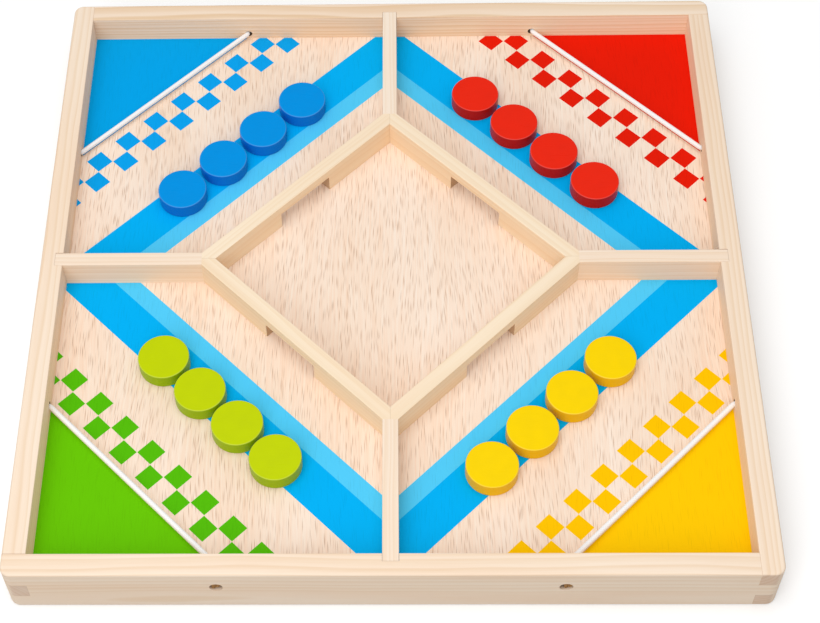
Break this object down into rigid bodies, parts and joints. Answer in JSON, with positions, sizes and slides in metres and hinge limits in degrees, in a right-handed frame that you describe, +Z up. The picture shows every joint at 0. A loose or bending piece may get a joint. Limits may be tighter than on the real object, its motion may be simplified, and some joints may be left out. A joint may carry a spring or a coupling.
{
  "type": "finger flick board game",
  "caption": "Square wooden tray game with a gated central diamond, corner dividers, a taut elastic across each corner and coloured playing discs.",
  "frame": {"origin": "middle of the tray's underside", "axes": "+X to the right along the front rail, +Y to the back rail, +Z up"},
  "size_m": [0.35, 0.35, 0.0305],
  "materials": {
    "pine_rail": "satin lacquer",
    "beech_panel": "printed and satin lacquered",
    "pine_wall": "satin lacquer",
    "white_elastic": "braided cover",
    "latex_core": "natural latex, matt",
    "blue_paint": "painted",
    "red_paint": "painted",
    "lime_paint": "painted",
    "yellow_paint": "painted"
  },
  "bodies": {
    "tray": {"front_rail": "pine_rail", "front_divider": "pine_wall", "back_rail": "pine_rail", "back_divider": "pine_wall", "left_rail": "pine_rail", "left_divider": "pine_wall", "right_rail": "pine_rail", "right_divider": "pine_wall", "floor_panel": "beech_panel", "blue_gate_wall": "pine_wall", "blue_knot_back": "latex_core", "blue_knot_left": "latex_core", "red_gate_wall": "pine_wall", "red_knot_back": "latex_core", "red_knot_right": "latex_core", "green_gate_wall": "pine_wall", "green_knot_front": "latex_core", "green_knot_left": "latex_core", "yellow_gate_wall": "pine_wall", "yellow_knot_front": "latex_core", "yellow_knot_right": "latex_core"},
    "blue_elastic": {"blue_elastic": "white_elastic"},
    "blue_disc_1": {"blue_disc_1": "blue_paint"},
    "blue_disc_2": {"blue_disc_2": "blue_paint"},
    "blue_disc_3": {"blue_disc_3": "blue_paint"},
    "blue_disc_4": {"blue_disc_4": "blue_paint"},
    "red_elastic": {"red_elastic": "white_elastic"},
    "red_disc_1": {"red_disc_1": "red_paint"},
    "red_disc_2": {"red_disc_2": "red_paint"},
    "red_disc_3": {"red_disc_3": "red_paint"},
    "red_disc_4": {"red_disc_4": "red_paint"},
    "green_elastic": {"green_elastic": "white_elastic"},
    "green_disc_1": {"green_disc_1": "lime_paint"},
    "green_disc_2": {"green_disc_2": "lime_paint"},
    "green_disc_3": {"green_disc_3": "lime_paint"},
    "green_disc_4": {"green_disc_4": "lime_paint"},
    "yellow_elastic": {"yellow_elastic": "white_elastic"},
    "yellow_disc_1": {"yellow_disc_1": "yellow_paint"},
    "yellow_disc_2": {"yellow_disc_2": "yellow_paint"},
    "yellow_disc_3": {"yellow_disc_3": "yellow_paint"},
    "yellow_disc_4": {"yellow_disc_4": "yellow_paint"}
  },
  "joints": [
    {"name": "blue_elastic_pull", "type": "slide", "parent": "tray", "child": "blue_elastic", "axis": [-0.7071, 0.7071, 0], "range_m": [0, 0.03], "stiffness_N_per_m": 60, "deforming": ["blue_elastic"]},
    {"name": "blue_disc_1_slide", "type": "slide", "parent": "tray", "child": "blue_disc_1", "axis": [-0.7071, 0.7071, 0], "range_m": [-0.03005, 0.0456]},
    {"name": "blue_disc_2_slide", "type": "slide", "parent": "tray", "child": "blue_disc_2", "axis": [0.4288, -0.9034, 0], "range_m": [-0.04841, 0.06704]},
    {"name": "blue_disc_3_slide", "type": "slide", "parent": "tray", "child": "blue_disc_3", "axis": [0.8611, -0.5084, 0], "range_m": [-0.04709, 0.09511]},
    {"name": "blue_disc_4_slide", "type": "slide", "parent": "tray", "child": "blue_disc_4", "axis": [-0.7071, 0.7071, 0], "range_m": [-0.03005, 0.0456]},
    {"name": "red_elastic_pull", "type": "slide", "parent": "tray", "child": "red_elastic", "axis": [0.7071, 0.7071, 0], "range_m": [0, 0.03], "stiffness_N_per_m": 60, "deforming": ["red_elastic"]},
    {"name": "red_disc_1_slide", "type": "slide", "parent": "tray", "child": "red_disc_1", "axis": [0.7071, 0.7071, 0], "range_m": [-0.0314, 0.04425]},
    {"name": "red_disc_2_slide", "type": "slide", "parent": "tray", "child": "red_disc_2", "axis": [-0.3788, -0.9255, 0], "range_m": [-0.04798, 0.10133]},
    {"name": "red_disc_3_slide", "type": "slide", "parent": "tray", "child": "red_disc_3", "axis": [-0.8173, -0.5761, 0], "range_m": [-0.04491, 0.06546]},
    {"name": "red_disc_4_slide", "type": "slide", "parent": "tray", "child": "red_disc_4", "axis": [0.7071, 0.7071, 0], "range_m": [-0.0314, 0.04425]},
    {"name": "green_elastic_pull", "type": "slide", "parent": "tray", "child": "green_elastic", "axis": [-0.7071, -0.7071, 0], "range_m": [0, 0.03], "stiffness_N_per_m": 60, "deforming": ["green_elastic"]},
    {"name": "green_disc_1_slide", "type": "slide", "parent": "tray", "child": "green_disc_1", "axis": [-0.7071, -0.7071, 0], "range_m": [-0.03395, 0.0417]},
    {"name": "green_disc_2_slide", "type": "slide", "parent": "tray", "child": "green_disc_2", "axis": [0.5085, 0.8611, 0], "range_m": [-0.04306, 0.09913]},
    {"name": "green_disc_3_slide", "type": "slide", "parent": "tray", "child": "green_disc_3", "axis": [0.8667, 0.4989, 0], "range_m": [-0.04319, 0.06944]},
    {"name": "green_disc_4_slide", "type": "slide", "parent": "tray", "child": "green_disc_4", "axis": [-0.7071, -0.7071, 0], "range_m": [-0.03395, 0.0417]},
    {"name": "yellow_elastic_pull", "type": "slide", "parent": "tray", "child": "yellow_elastic", "axis": [0.7071, -0.7071, 0], "range_m": [0, 0.03], "stiffness_N_per_m": 60, "deforming": ["yellow_elastic"]},
    {"name": "yellow_disc_1_slide", "type": "slide", "parent": "tray", "child": "yellow_disc_1", "axis": [0.7071, -0.7071, 0], "range_m": [-0.0323, 0.04335]},
    {"name": "yellow_disc_2_slide", "type": "slide", "parent": "tray", "child": "yellow_disc_2", "axis": [-0.3954, 0.9185, 0], "range_m": [-0.04666, 0.0704]},
    {"name": "yellow_disc_3_slide", "type": "slide", "parent": "tray", "child": "yellow_disc_3", "axis": [-0.8173, 0.5762, 0], "range_m": [-0.044, 0.09575]},
    {"name": "yellow_disc_4_slide", "type": "slide", "parent": "tray", "child": "yellow_disc_4", "axis": [0.7071, -0.7071, 0], "range_m": [-0.0323, 0.04335]}
  ]
}
